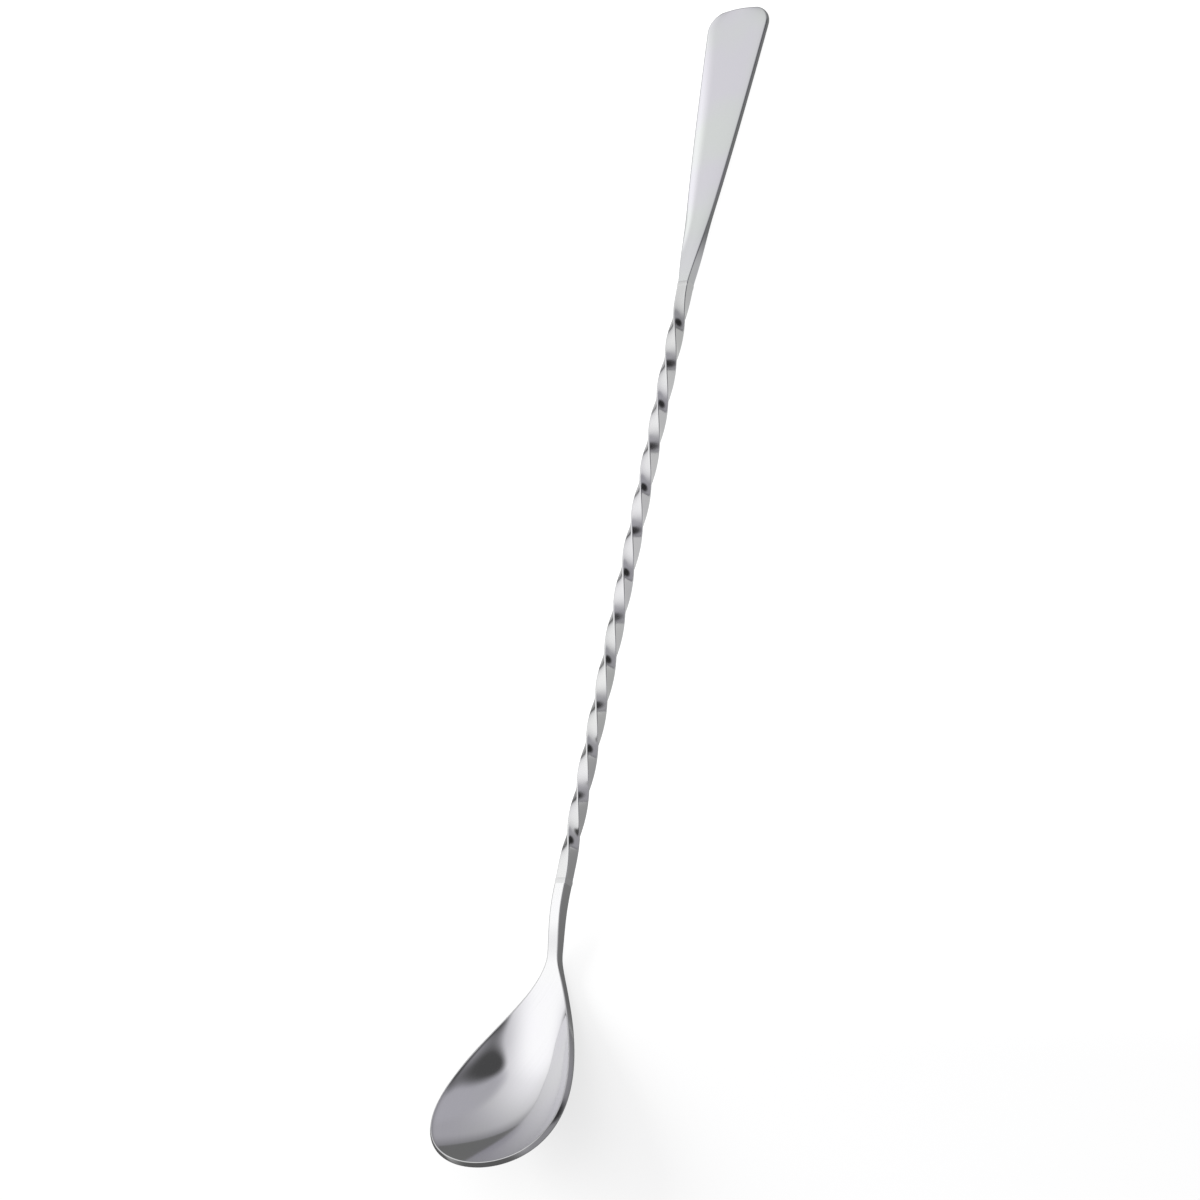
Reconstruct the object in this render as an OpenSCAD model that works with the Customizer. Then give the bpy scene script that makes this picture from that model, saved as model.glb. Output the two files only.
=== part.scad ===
// Iced tea spoon: a pressed bowl with a short neck, a twisted square stem and a flared handle,
// welded end to end. The spoon lies on its back with the bowl's hollow facing up.
// X runs along the spoon towards the bowl's tip, Y across it and Z up.
// The origin is the middle of the spoon's length and width, on the surface that it lies on.

/* [Handle] */
// Length of the handle, from the flared end to its weld
handle_len = 60; // [45:0.5:80]
// Width of the handle at the flared end
handle_end_w = 14; // [10.5:0.1:18]
// Thickness of the handle at the flared end
handle_t = 1.1; // [1:0.05:1.8]
// Rise of the handle's crowned top above its edges
handle_crown = 0.35; // [0:0.05:0.6]
// Radius of the two corners of the flared end, seen from above
handle_corner_r = 4.2; // [1:0.1:4.4]
// Rounding of the handle's edges
handle_edge_r = 0.4; // [0.2:0.05:0.45]

/* [Twisted stem] */
// Side of the square bar
bar_side = 2.25; // [1.8:0.05:3]
// Rounding of the bar's edges
bar_edge_r = 0.25; // [0.1:0.05:0.4]
// Length of one quarter turn of the twist
quarter_len = 8.35; // [6:0.05:12]
// Number of quarter turns in the stem
quarter_turns = 13; // [8:1:16]
// Length over which the twist starts, and dies out again
twist_ramp_len = 6; // [2:0.5:10]

/* [Bowl] */
// Length of the plain neck, from the weld to the heel of the bowl
neck_len = 10.6; // [8:0.1:20]
// Length of the bowl's hollow, from its heel to its tip
bowl_len = 39.8; // [30:0.2:50]
// Width of the bowl's hollow, inside its rim
bowl_w = 24.2; // [20:0.2:30]
// Depth of the hollow below the rim
bowl_depth = 5.5; // [4:0.1:8]
// Thickness of the bowl's wall
bowl_t = 1; // [0.8:0.05:1.4]
// Drop from the top of the neck to the heel of the bowl
heel_drop = 3.4; // [1.5:0.1:4]
// Angle that the rim climbs above the stem's line towards the tip
bowl_pitch = 21; // [12:0.5:24]

/* [Welds] */
// Half width of each weld along the spoon
weld_half_w = 0.5; // [0.3:0.05:0.8]
// Depth of each weld below the bar's faces
weld_depth = 0.45; // [0.2:0.05:0.7]
// Height of each weld's bead above the bar's faces
weld_bead = 0.05; // [0.02:0.01:0.1]

/* [Hidden] */

// Steps of the lofts: round an edge, across a face and along each piece
edge_steps = 3;
bar_face_steps = 2;
handle_face_steps = 8;
bowl_face_steps = 16;
corner_rings = 12;
handle_rings_n = 24;
quarter_rings = 10;
ramp_rings = 6;
bowl_rings_n = 46;

// Handle: the share of its length with a flat back, and how the square of its width tapers
flat_back_share = 0.72;
taper_power = 1.31;

// Bowl outline: how fast it flares from the neck, how blunt its nose is, how softly it leaves the neck
flare_power = 1.31;
nose_power = 1.56;
neck_blend = 3;

// Bowl heights, as shares of its length measured from the heel
heel_low_share = 0.25;
bend_share = 0.225;
bend_soft_share = 0.148;
thin_share = 0.35;
hollow_full_share = 0.6;
tip_wall_power = 2.5;

// Edges: the share of a thickness that rounds it fully, and the share that rounds the bowl's rim
full_round_share = 0.42;
rim_round_share = 0.18;

// Places along the spoon
stem_len = quarter_turns * quarter_len + twist_ramp_len + 2 * weld_half_w;
stem_x = handle_len;
bowl_x = stem_x + stem_len;
bowl_reach = neck_len + bowl_len;

// Bowl: the rounding of its rim, the half width that it starts with at the neck,
// where it is widest and the scale that makes it as wide there as it should be
rim_r = rim_round_share * bowl_t;
neck_half = bar_side / 2 - bar_edge_r;
widest_share = pow(flare_power / (flare_power + nose_power / 2), 1 / nose_power);
outline_half = bowl_w / 2 / (pow(widest_share, flare_power) * sqrt(1 - pow(widest_share, nose_power)));

// Eased step from 0 to 1, level at both ends
function ease(t) = let (c = min(max(t, 0), 1)) c * c * c * (10 + c * (6 * c - 15));
function mix(a, b, t) = a + (b - a) * t;
function unit(v) = v / norm(v);
function flip(points) = [for (p = points) [p.x, -p.y, p.z]];
function backwards(list) = [for (i = [len(list) - 1 : -1 : 0]) list[i]];
function flat(lists) = [for (list = lists) each list];

// Places across a face from one edge to the other, from -1 to 1
function lanes(steps) = [for (i = [0 : steps]) 2 * i / steps - 1];
// Angles round an edge, without the start
function edge_angles() = [for (i = [1 : edge_steps]) 90 * i / edge_steps];

// Closed ring of points round a bar at x: top face, +Y edge, back face, -Y edge
function bar_ring(x, half_w, back, top, crown, edge_r, steps) =
    let (
        reach = half_w - edge_r,
        upper = [for (a = edge_angles()) [x, reach + edge_r * sin(a), top - edge_r + edge_r * cos(a)]],
        lower = [for (a = edge_angles()) [x, reach + edge_r * sin(a), back + edge_r - edge_r * cos(a)]],
        side = concat(upper, [[x, half_w, (top + back) / 2]], backwards(lower))
    )
    concat(
        [for (s = lanes(steps)) [x, s * reach, top + crown * (1 - s * s)]],
        side,
        [for (s = lanes(steps)) [x, -s * reach, back]],
        backwards(flip(side))
    );

// Ring round the square bar at x, grown or shrunk by a number of millimetres on every face
function square_ring(x, grow, steps) =
    let (
        half = bar_side / 2 + grow,
        edge_r = bar_edge_r * half / (bar_side / 2)
    )
    bar_ring(x, half, -half, half, 0, edge_r, steps);

function turned(ring, angle) =
    [for (p = ring) [p.x, p.y * cos(angle) - p.z * sin(angle), p.y * sin(angle) + p.z * cos(angle)]];

// Faces between rings of equal length, each quad as two triangles
function skin_faces(rings_n, points_n) =
    [for (i = [0 : rings_n - 2], j = [0 : points_n - 1])
        let (a = i * points_n, b = a + points_n, k = (j + 1) % points_n)
        each [[a + j, a + k, b + k], [a + j, b + k, b + j]]];

// Caps over the first and last ring, as triangles round a hub point in the middle
function middle(ring) = [for (axis = [0 : 2]) let (c = [for (p = ring) p[axis]]) (min(c) + max(c)) / 2];
function first_cap(hub, points_n) = [for (j = [0 : points_n - 1]) [hub, (j + 1) % points_n, j]];
function last_cap(hub, start, points_n) =
    [for (j = [0 : points_n - 1]) [hub, start + j, start + (j + 1) % points_n]];

// Solid skin over a run of rings, closed at both ends
module skin(rings) {
    count = len(rings[0]);
    last = (len(rings) - 1) * count;
    hubs = last + count;
    polyhedron(
        concat(flat(rings), [middle(rings[0]), middle(rings[len(rings) - 1])]),
        concat(first_cap(hubs, count), last_cap(hubs + 1, last, count), skin_faces(len(rings), count))
    );
}

// Handle, with d measured from its flared end

// How far a rounded corner of radius r falls back at d from its start
function fallback(d, r) = d < r ? r - sqrt(r * r - (r - d) * (r - d)) : 0;
// Growth from the blade to the square bar along the handle
function handle_growth(d) =
    ease((d - flat_back_share * handle_len) / ((1 - flat_back_share) * handle_len - weld_half_w));
function handle_half_w(d) =
    let (left = max(1 - d / (handle_len - weld_half_w), 0))
    sqrt(mix(bar_side * bar_side, handle_end_w * handle_end_w, pow(left, taper_power))) / 2
    - fallback(d, handle_corner_r) - fallback(d, handle_edge_r);

function handle_ring(d) =
    let (
        growth = handle_growth(d),
        half_t = mix(handle_t, bar_side, growth) / 2 - fallback(d, handle_edge_r),
        edge_r = min(mix(handle_edge_r, bar_edge_r, growth), full_round_share * 2 * half_t),
        half_w = handle_half_w(d)
    )
    bar_ring(d, half_w, -half_t, half_t, handle_crown * (1 - growth), edge_r, handle_face_steps);

handle_rings = concat(
    [for (i = [0 : corner_rings]) handle_ring(handle_corner_r * (1 - cos(90 * i / corner_rings)))],
    [for (i = [1 : handle_rings_n - 1])
        handle_ring(mix(handle_corner_r, handle_len - weld_half_w, i / handle_rings_n))],
    [square_ring(handle_len - weld_half_w, 0, handle_face_steps)],
    [square_ring(handle_len, -weld_depth, handle_face_steps)]
);

// Stem, with s measured from the handle's weld

// Left-hand twist at s: its rate climbs over the first ramp and falls over the last
twist_len = stem_len - 2 * weld_half_w;
function twist_at(s) =
    let (
        rate = 90 / quarter_len,
        start = min(s, twist_ramp_len),
        finish = max(s - (twist_len - twist_ramp_len), 0),
        plain = max(s - twist_ramp_len, 0) - finish
    )
    -rate * (start * start / (2 * twist_ramp_len) + plain
        + finish - finish * finish / (2 * twist_ramp_len));

plain_len = twist_len - 2 * twist_ramp_len;
plain_rings = quarter_turns * quarter_rings;
twist_stations = concat(
    [for (i = [0 : ramp_rings - 1]) twist_ramp_len * i / ramp_rings],
    [for (i = [0 : plain_rings]) twist_ramp_len + plain_len * i / plain_rings],
    [for (i = [1 : ramp_rings]) twist_len - twist_ramp_len + twist_ramp_len * i / ramp_rings]
);

stem_rings = concat(
    [square_ring(stem_x, -weld_depth, bar_face_steps)],
    [for (s = twist_stations) turned(square_ring(stem_x + weld_half_w + s, 0, bar_face_steps), twist_at(s))],
    [turned(square_ring(bowl_x, -weld_depth, bar_face_steps), twist_at(twist_len))]
);

// Bowl and neck, with b measured from the edge of the bowl's weld

function along_bowl(b) = min(max((b - neck_len) / bowl_len, 0), 1);
function half_w_at(b) =
    let (
        x = along_bowl(b),
        flare = outline_half * pow(x, flare_power)
    )
    pow(pow(neck_half, neck_blend) + pow(flare, neck_blend), 1 / neck_blend) * sqrt(1 - pow(x, nose_power));

// Height of the rim: the neck's top, less the drop to the heel, plus the climb to the tip
bend_at = neck_len + bend_share * bowl_len;
bend_soft = bend_soft_share * bowl_len;
function climb(b) = tan(bowl_pitch) * (b - bend_at + norm([b - bend_at, bend_soft])) / 2;
function rim_z(b) =
    bar_side / 2 - heel_drop * ease(b / (neck_len + heel_low_share * bowl_len)) + climb(b) - climb(0);

// Depth of the hollow below the rim on the middle line
function hollow_form(b) =
    let (x = along_bowl(b))
    half_w_at(b) * sqrt(1 - pow(x, tip_wall_power)) * ease(x / hollow_full_share);
hollow_peak = max([for (i = [0 : bowl_rings_n]) hollow_form(neck_len + bowl_len * i / bowl_rings_n)]);
function hollow_at(b) = bowl_depth * hollow_form(b) / hollow_peak;

// Wall and edge rounding, from the square neck to the thin bowl
function thinning(b) = ease(b / (neck_len + thin_share * bowl_len));
function wall_at(b) = mix(bar_side, bowl_t, thinning(b));
function edge_r_at(b) = mix(bar_edge_r, rim_r, thinning(b));

// Point on the upper face at the sweep angle a, 90 at the tip, and s across it
function b_at(a) = bowl_reach * sin(a);
function face_at(a, s) =
    let (b = b_at(a))
    [b, half_w_at(b) * s, rim_z(b) - hollow_at(b) * (1 - s * s)];

// Directions there: along the sweep, and square to the face
sweep_step = 0.05;
function sweep_dir(a, s) = unit(face_at(a + sweep_step, s) - face_at(a - sweep_step, s));
function normal_at(a, s) =
    let (b = b_at(a))
    unit(cross(sweep_dir(a, s), [0, half_w_at(b), 2 * hollow_at(b) * s]));

// Rounded edge of the wall below edge point e, for the outward direction out and the normal up
function wall_edge(e, up, out, wall, edge_r) =
    concat(
        [for (a = edge_angles()) e - edge_r * up + edge_r * (up * cos(a) + out * sin(a))],
        [e - wall / 2 * up + edge_r * out],
        backwards([for (a = edge_angles()) e - (wall - edge_r) * up + edge_r * (out * sin(a) - up * cos(a))])
    );

function bowl_ring(a) =
    let (
        b = b_at(a),
        wall = wall_at(b),
        up = normal_at(a, 1),
        side = wall_edge(face_at(a, 1), up, unit(cross(up, sweep_dir(a, 1))), wall, edge_r_at(b))
    )
    concat(
        [for (s = lanes(bowl_face_steps)) face_at(a, s)],
        side,
        [for (s = lanes(bowl_face_steps)) face_at(a, -s) - wall * normal_at(a, -s)],
        backwards(flip(side))
    );

// At the tip a ring closes to a seam: upper face, edge, back face
tip_step = 5;
tip_dir = unit(face_at(90, 0) - face_at(90 - tip_step, 0));
tip_up = [-tip_dir.z, 0, tip_dir.x];
tip_seam = concat(
    [face_at(90, 0)],
    wall_edge(face_at(90, 0), tip_up, tip_dir, bowl_t, rim_r),
    [face_at(90, 0) - bowl_t * tip_up]
);

function shifted(points, x) = [for (p = points) [p.x + x, p.y, p.z]];
bowl_start = bowl_x + weld_half_w;
bowl_rings = concat(
    [square_ring(bowl_x, -weld_depth, bowl_face_steps)],
    [square_ring(bowl_start, 0, bowl_face_steps)],
    [for (i = [1 : bowl_rings_n - 1]) shifted(bowl_ring(90 * i / bowl_rings_n), bowl_start)]
);
bowl_seam = shifted(tip_seam, bowl_start);

// Place in the tip's seam of point j of a ring
face_n = bowl_face_steps + 1;
edge_n = 2 * edge_steps + 1;
function seam_place(j) =
    j < face_n ? 0
    : j < face_n + edge_n ? 1 + j - face_n
    : j < 2 * face_n + edge_n ? edge_n + 1
    : edge_n - (j - 2 * face_n - edge_n);

// Rest: the spoon tips about its flared end until the bowl's belly is level with the handle's back
belly_line = [for (ring = bowl_rings) ring[face_n + edge_n + bowl_face_steps / 2]];
heel_point = [handle_edge_r, -handle_t / 2];
rest_angle = max([for (p = belly_line) atan2(heel_point.y - p.z, p.x - heel_point.x)]);
outer_points = concat(flat(handle_rings), flat(bowl_rings), bowl_seam);
rest_x = [for (p = outer_points) p.x * cos(rest_angle) - p.z * sin(rest_angle)];
rest_z = [for (p = outer_points) p.x * sin(rest_angle) + p.z * cos(rest_angle)];

module at_rest() {
    translate([-(min(rest_x) + max(rest_x)) / 2, 0, -min(rest_z)])
        rotate([0, -rest_angle, 0])
            children();
}

module handle() {
    color("gainsboro") at_rest() skin(handle_rings);
}

module twisted_stem() {
    color("silver") at_rest() skin(stem_rings);
}

module spoon_bowl() {
    count = len(bowl_rings[0]);
    last = (len(bowl_rings) - 1) * count;
    seam = last + count;
    hub = seam + len(bowl_seam);
    tip_faces = [for (j = [0 : count - 1])
        let (
            k = (j + 1) % count,
            here = seam + seam_place(j),
            next = seam + seam_place(k)
        )
        each here == next
            ? [[last + j, last + k, next]]
            : [[last + j, last + k, next], [last + j, next, here]]];
    color("gainsboro") at_rest()
        polyhedron(
            concat(flat(bowl_rings), bowl_seam, [middle(bowl_rings[0])]),
            concat(first_cap(hub, count), skin_faces(len(bowl_rings), count), tip_faces)
        );
}

// Weld ring at x: fills the groove between two bevelled bar ends, with a low bead outside
module weld_ring(x) {
    rings = [
        square_ring(x - weld_half_w, 0, bar_face_steps),
        square_ring(x, weld_bead, bar_face_steps),
        square_ring(x + weld_half_w, 0, bar_face_steps),
        square_ring(x, -weld_depth, bar_face_steps)
    ];
    count = len(rings[0]);
    polyhedron(flat(concat(rings, [rings[0]])), skin_faces(len(rings) + 1, count));
}

module handle_weld() {
    color("darkgray") at_rest() weld_ring(stem_x);
}

module bowl_weld() {
    color("darkgray") at_rest() weld_ring(bowl_x);
}

handle();
handle_weld();
twisted_stem();
bowl_weld();
spoon_bowl();
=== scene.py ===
"""Iced tea spoon in polished stainless steel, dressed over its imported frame.

The spoon is five pieces welded end to end: a flared handle, a twisted square stem, a bowl with its
neck, and the two weld rings between them. Each is lofted here as a fine smooth skin from the same
driving sizes as the solid that it stands for. X runs towards the bowl's tip, Y across the spoon and
Z up, in metres, with the spoon lying on its back on the floor.
"""

import logging
import math
from dataclasses import dataclass, field
from enum import Enum
from typing import Callable, Sequence

import bpy
import numpy as np
from mathutils import Matrix, Vector


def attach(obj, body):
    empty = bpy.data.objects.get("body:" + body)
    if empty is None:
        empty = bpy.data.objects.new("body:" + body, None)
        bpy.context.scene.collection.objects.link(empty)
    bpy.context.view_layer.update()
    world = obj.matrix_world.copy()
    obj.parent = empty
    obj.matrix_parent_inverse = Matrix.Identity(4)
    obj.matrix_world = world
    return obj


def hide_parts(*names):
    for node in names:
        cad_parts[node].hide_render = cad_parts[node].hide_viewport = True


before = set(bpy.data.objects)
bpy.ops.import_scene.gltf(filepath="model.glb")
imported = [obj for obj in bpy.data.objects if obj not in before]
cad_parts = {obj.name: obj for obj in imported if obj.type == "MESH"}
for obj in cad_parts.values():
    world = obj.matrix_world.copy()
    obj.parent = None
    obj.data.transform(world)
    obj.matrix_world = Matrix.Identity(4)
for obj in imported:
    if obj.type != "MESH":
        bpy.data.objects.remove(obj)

LOG = logging.getLogger("iced_tea_spoon")
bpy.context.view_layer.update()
MM = 0.001
BODY = "root"

MIDDLE_TOLERANCE = 0.001
STATION_DIGITS = 6

Array = np.ndarray
Span = tuple[float, float]
Triple = tuple[float, float, float]
Colour = tuple[float, float, float, float]
Socket = bpy.types.NodeSocket
Inputs = dict[str | int, object]


class SteelSlot(Enum):
    """Material slots of the record that the pieces take their finish from."""

    HANDLE = "handle_steel"
    STEM = "stem_steel"
    BOWL = "bowl_steel"
    WELD = "weld_steel"


class RayKind(Enum):
    """Kinds of ray that the floor and the backdrop tell apart."""

    CAMERA = "Is Camera Ray"
    GLOSSY = "Is Glossy Ray"
    TRANSMISSION = "Is Transmission Ray"


# Curves and small makers that the pieces share


def ease(t: Array | float) -> Array:
    """Step from 0 to 1 that is level at both ends."""
    c = np.clip(t, 0.0, 1.0)
    return c**3 * (10.0 + c * (6.0 * c - 15.0))


def mix(a: Array | float, b: Array | float, t: Array | float) -> Array:
    """Value between a and b at the share t."""
    return a + (b - a) * t


def fallback(d: Array, r: float) -> Array:
    """How far a rounded corner falls back.

    Args:
        d: Distances from the corner's start.
        r: Radius of the corner.

    Returns:
        The fall at each distance, zero past the radius.
    """
    short = np.clip(r - d, 0.0, r)
    return r - np.sqrt(r * r - short * short)


def units(v: Array) -> Array:
    """Vectors scaled to a length of 1 along their last axis."""
    return v / np.linalg.norm(v, axis=-1, keepdims=True)


def linked(name: str, data: bpy.types.ID) -> bpy.types.Object:
    """Make an object and link it to the scene.

    Args:
        name: Name of the object.
        data: Its mesh, lamp or camera.

    Returns:
        The new object.
    """
    made = bpy.data.objects.new(name, data)
    bpy.context.scene.collection.objects.link(made)
    return made


def plate(name: str, half: Span, level: float) -> bpy.types.Mesh:
    """Make a flat rectangle round the origin.

    Args:
        name: Name of the mesh.
        half: Half lengths of its sides.
        level: Its height.

    Returns:
        The mesh, which faces up.
    """
    x, y = half
    data = bpy.data.meshes.new(name)
    data.from_pydata([(-x, -y, level), (x, -y, level), (x, y, level), (-x, y, level)], [], [(0, 1, 2, 3)])
    return data


@dataclass
class Skin:
    """Closed skin over a run of rings, with the facts that its finish reads.

    Attributes:
        rings: Points as (ring, place round the ring, xyz), in millimetres.
        edge: How much each place round a ring lies on an edge, 0 to 1.
        across: Place of each point round the ring, in millimetres, for the polishing lines.
        seam: Points that close the last ring at a tip, or None for a flat end.
        seam_places: Index in the seam of each place round the ring.
        sharp_rings: Rings that keep a crease.
        loop: True if the last ring joins the first one, as in a weld ring.
    """

    rings: Array
    edge: Array
    across: Array
    seam: Array | None = None
    seam_places: Array | None = None
    sharp_rings: Sequence[int] = ()
    loop: bool = False

    def side_faces(self) -> list[tuple[int, ...]]:
        """Quads between neighbouring rings."""
        rings_n, count = self.rings.shape[:2]
        j = np.arange(count)
        k = (j + 1) % count
        faces = []
        for i in range(rings_n if self.loop else rings_n - 1):
            a, b = i * count, ((i + 1) % rings_n) * count
            faces += zip(a + j, a + k, b + k, b + j)
        return [tuple(int(v) for v in face) for face in faces]

    def end_faces(self) -> list[tuple[int, ...]]:
        """Faces that close the first ring and the last one."""
        if self.loop:
            return []
        rings_n, count = self.rings.shape[:2]
        last = (rings_n - 1) * count
        faces: list[tuple[int, ...]] = [tuple(range(count - 1, -1, -1))]
        if self.seam is None:
            return faces + [tuple(range(last, last + count))]
        start = rings_n * count
        for j in range(count):
            k = (j + 1) % count
            here, there = start + int(self.seam_places[j]), start + int(self.seam_places[k])
            corners = (last + j, last + k, there, here)
            faces.append(corners if here != there else corners[:3])
        return faces

    def points(self) -> Array:
        """All the points, with the tip's seam at the end."""
        flat = self.rings.reshape(-1, 3)
        return flat if self.seam is None else np.concatenate([flat, self.seam])

    def mesh(self, name: str, place: Callable[[Array], Array]) -> bpy.types.Object:
        """Make the skin's mesh object.

        Args:
            name: Name of the piece.
            place: Moves points in millimetres to their place at rest, in metres.

        Returns:
            The new object, smooth shaded and linked to the scene.
        """
        points = self.points()
        data = bpy.data.meshes.new(name)
        data.from_pydata(place(points).tolist(), [], self.side_faces() + self.end_faces())
        data.polygons.foreach_set("use_smooth", np.ones(len(data.polygons), bool))
        self.mark_creases(data)
        self.note_facts(data, points)
        data.validate()
        return linked(name, data)

    def mark_creases(self, data: bpy.types.Mesh) -> None:
        """Keep a crease along each ring that is listed as sharp.

        Args:
            data: The skin's mesh.
        """
        count = self.rings.shape[1]
        ends = np.zeros(len(data.edges) * 2, np.int32)
        data.edges.foreach_get("vertices", ends)
        ring_of = ends.reshape(-1, 2) // count
        sharp = (ring_of[:, 0] == ring_of[:, 1]) & np.isin(ring_of[:, 0], list(self.sharp_rings))
        crease = data.attributes.new("sharp_edge", "BOOLEAN", "EDGE")
        crease.data.foreach_set("value", sharp)

    def note_facts(self, data: bpy.types.Mesh, points: Array) -> None:
        """Write the edge share and the polishing line of each point to the mesh.

        Args:
            data: The skin's mesh.
            points: Its points, in millimetres.
        """
        rings_n, count = self.rings.shape[:2]
        spare = len(points) - rings_n * count
        edge = np.concatenate([np.tile(self.edge, rings_n), np.ones(spare)])
        across = np.concatenate([self.across.ravel(), np.zeros(spare)]) * MM
        lines = np.stack([points[:, 0] * MM, across, np.zeros(len(points))], axis=1)
        data.attributes.new("edge", "FLOAT", "POINT").data.foreach_set("value", edge.astype(np.float32))
        polish = data.attributes.new("polish", "FLOAT_VECTOR", "POINT")
        polish.data.foreach_set("vector", lines.astype(np.float32).ravel())


@dataclass(frozen=True)
class RingSteps:
    """Steps of a ring.

    Attributes:
        face: Steps across each of its two faces.
        edge: Steps round each half of its edges.
        wear: Share of a half face that wears with the edge beside it.
    """

    face: int
    edge: int
    wear: float

    def lanes(self) -> Array:
        """Places across a face, from -1 to 1."""
        return np.linspace(-1.0, 1.0, self.face + 1)

    def turns(self) -> Array:
        """Shares of an edge's quarter turn, without its start."""
        return np.linspace(0.0, 1.0, self.edge + 1)[1:]

    def edge_shares(self) -> Array:
        """How much each place round the ring lies on an edge."""
        face = ease((np.abs(self.lanes()) - 1.0 + self.wear) / self.wear)
        side = np.ones(2 * self.edge)
        return np.concatenate([face, side, face, side])


def bar_rings(x: Array, half_w: Array, half_t: Array, crown: Array, edge_r: Array, steps: RingSteps) -> Array:
    """Rings round a bar: crowned top, +Y edge, flat back, -Y edge.

    Args:
        x: Place of each ring along the spoon.
        half_w: Half width of each ring.
        half_t: Half thickness of each ring at its edges.
        crown: Rise of the top face in its middle.
        edge_r: Rounding of the edges.
        steps: Steps of the ring.

    Returns:
        Points as (ring, place, xyz).
    """
    x, half_w, half_t, crown, edge_r = (
        np.broadcast_to(v, np.shape(x)).astype(float)[:, None] for v in (x, half_w, half_t, crown, edge_r)
    )
    lanes, turns = steps.lanes()[None], steps.turns()[None]
    reach = half_w - edge_r
    lean = np.arctan2(2.0 * crown, reach)
    top_angle = mix(lean, math.pi / 2.0, turns)
    top_side = (
        reach + edge_r * (np.sin(top_angle) - np.sin(lean)),
        half_t + edge_r * (np.cos(top_angle) - np.cos(lean)),
    )
    out = top_side[0][:, -1:]
    back_angle = math.pi / 2.0 * (1.0 - turns + turns[:, :1])
    back_side = (out - edge_r * (1.0 - np.sin(back_angle)), -half_t + edge_r * (1.0 - np.cos(back_angle)))
    side_y = np.concatenate([top_side[0], back_side[0]], axis=1)
    side_z = np.concatenate([top_side[1], back_side[1]], axis=1)
    back_reach = out - edge_r
    y = np.concatenate([lanes * reach, side_y, -lanes * back_reach, -side_y[:, ::-1]], axis=1)
    top_z = half_t + crown * (1.0 - lanes**2)
    back_z = np.broadcast_to(-half_t, top_z.shape)
    z = np.concatenate([top_z, side_z, back_z, side_z[:, ::-1]], axis=1)
    return np.stack([np.broadcast_to(x, y.shape), y, z], axis=-1)


def girth(rings: Array) -> Array:
    """Distance round each ring from its first point."""
    step = np.linalg.norm(np.diff(rings, axis=1, prepend=rings[:, :1]), axis=2)
    return np.cumsum(step, axis=1)


@dataclass(frozen=True)
class SquareBar:
    """Square bar that the stem is twisted from, in millimetres."""

    side: float = 2.25
    edge_r: float = 0.25

    def rings(self, x: Array, grow: Array | float, steps: RingSteps) -> Array:
        """Square rings at x, grown on every face.

        Args:
            x: Place of each ring along the spoon.
            grow: Growth of every face, negative to shrink.
            steps: Steps of the ring.

        Returns:
            Points as (ring, place, xyz).
        """
        half = self.side / 2.0 + np.broadcast_to(grow, np.shape(x))
        return bar_rings(x, half, half, 0.0, self.edge_r * half / (self.side / 2.0), steps)


@dataclass(frozen=True)
class Weld:
    """Groove and bead of the two butt welds, in millimetres."""

    half_w: float = 0.5
    depth: float = 0.45
    bead: float = 0.05


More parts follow.
